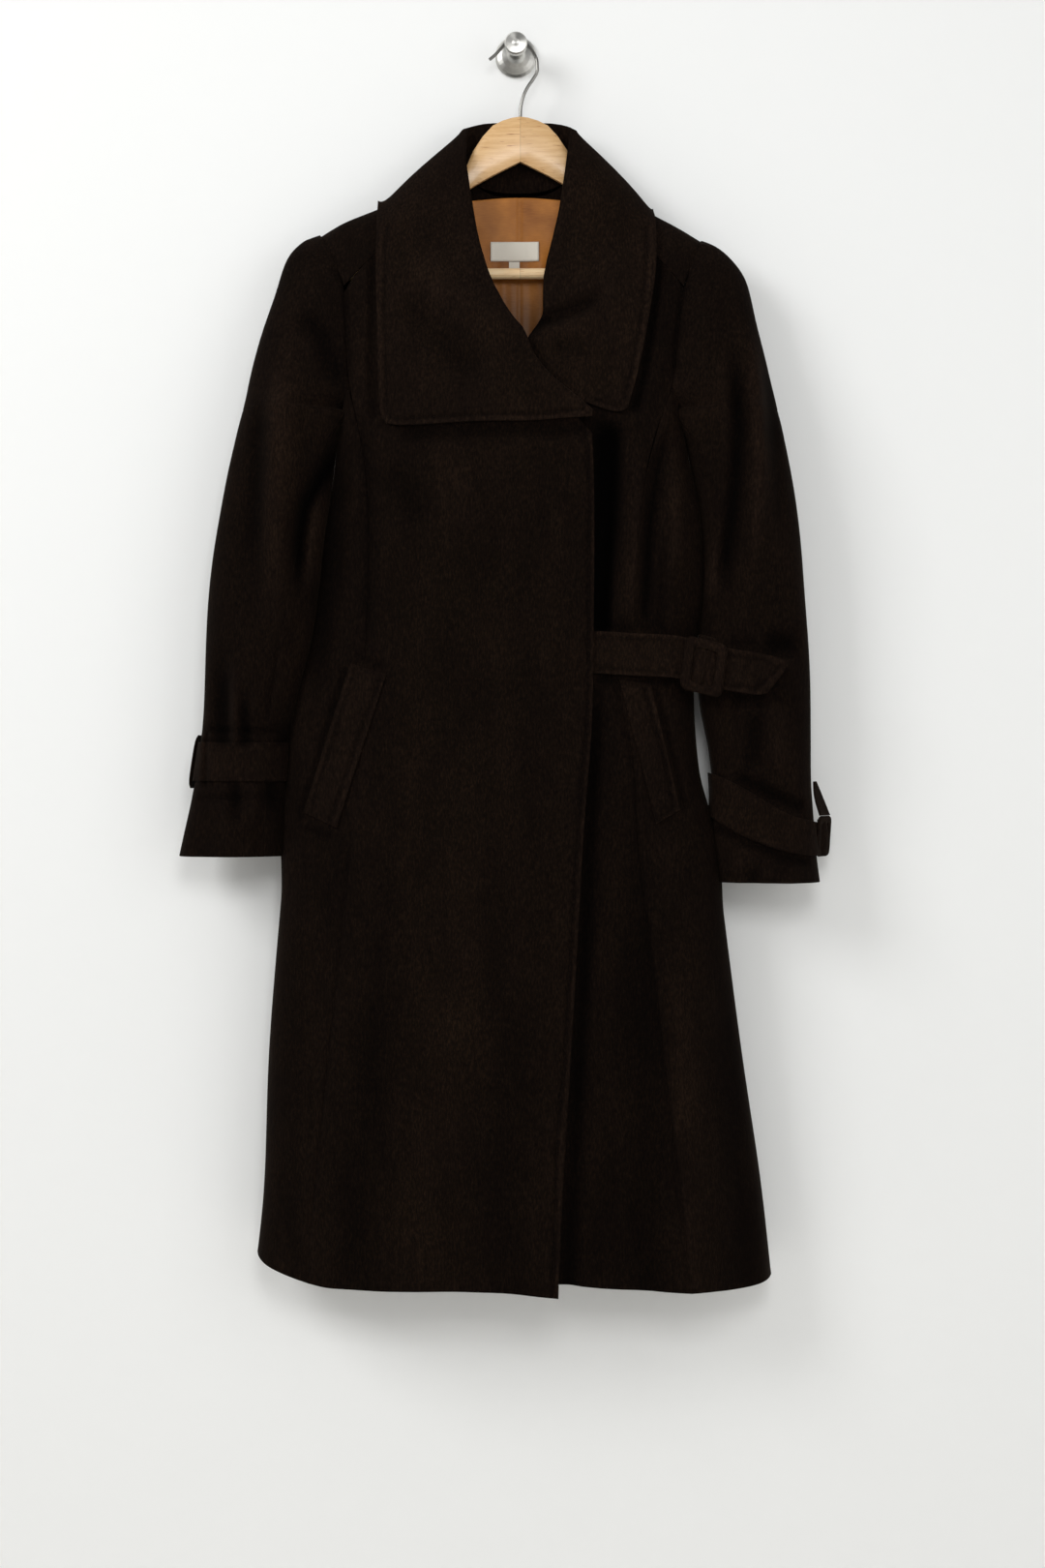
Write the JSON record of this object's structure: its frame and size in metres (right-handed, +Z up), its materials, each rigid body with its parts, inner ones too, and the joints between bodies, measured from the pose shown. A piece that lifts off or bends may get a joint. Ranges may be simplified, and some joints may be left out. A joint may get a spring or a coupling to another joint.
{
  "type": "trench coat on a hanger",
  "caption": "Long double-front wool coat with a wide shawl-like collar, half belt and cuff straps, hung on a wooden hanger from a wall knob.",
  "frame": {"origin": "centre of the wall knob's flat back face, on the wall plane", "axes": "+X to the viewer's right (the wearer's left), -Y out of the wall towards the viewer, +Z up"},
  "size_m": [0.6534, 0.1301, 1.2754],
  "materials": {
    "back": "napped wool coating",
    "belt": "napped wool coating",
    "belt_loop": "napped wool coating",
    "buckle": "napped wool coating",
    "buckle_bar": "brushed",
    "collar": "napped wool coating",
    "cuff_end_left": "napped wool coating",
    "cuff_keeper_right": "napped wool coating",
    "cuff_slider_left": "napped wool coating",
    "cuff_strap_left": "napped wool coating",
    "cuff_strap_right": "napped wool coating",
    "front_left_centre": "napped wool coating",
    "front_left_side": "napped wool coating",
    "front_right_centre": "napped wool coating",
    "front_right_side": "napped wool coating",
    "hanger": "clear lacquer",
    "hanger_bar": "clear lacquer",
    "hanger_hook": "brushed",
    "knob": "brushed",
    "label": "woven tape",
    "lining_back": "satin",
    "pocket_welt_left": "napped wool coating",
    "pocket_welt_right": "napped wool coating",
    "size_tab": "woven tape",
    "sleeve_left_under": "napped wool coating",
    "sleeve_left_upper": "napped wool coating",
    "sleeve_right_under": "napped wool coating",
    "sleeve_right_upper": "napped wool coating"
  },
  "bodies": {
    "root": {"back": "back", "belt": "belt", "belt_loop": "belt_loop", "buckle": "buckle", "buckle_bar": "buckle_bar", "collar": "collar", "cuff_end_left": "cuff_end_left", "cuff_keeper_right": "cuff_keeper_right", "cuff_slider_left": "cuff_slider_left", "cuff_strap_left": "cuff_strap_left", "cuff_strap_right": "cuff_strap_right", "front_left_centre": "front_left_centre", "front_left_side": "front_left_side", "front_right_centre": "front_right_centre", "front_right_side": "front_right_side", "hanger": "hanger", "hanger_bar": "hanger_bar", "hanger_hook": "hanger_hook", "knob": "knob", "label": "label", "lining_back": "lining_back", "pocket_welt_left": "pocket_welt_left", "pocket_welt_right": "pocket_welt_right", "size_tab": "size_tab", "sleeve_left_under": "sleeve_left_under", "sleeve_left_upper": "sleeve_left_upper", "sleeve_right_under": "sleeve_right_under", "sleeve_right_upper": "sleeve_right_upper"}
  },
  "joints": []
}
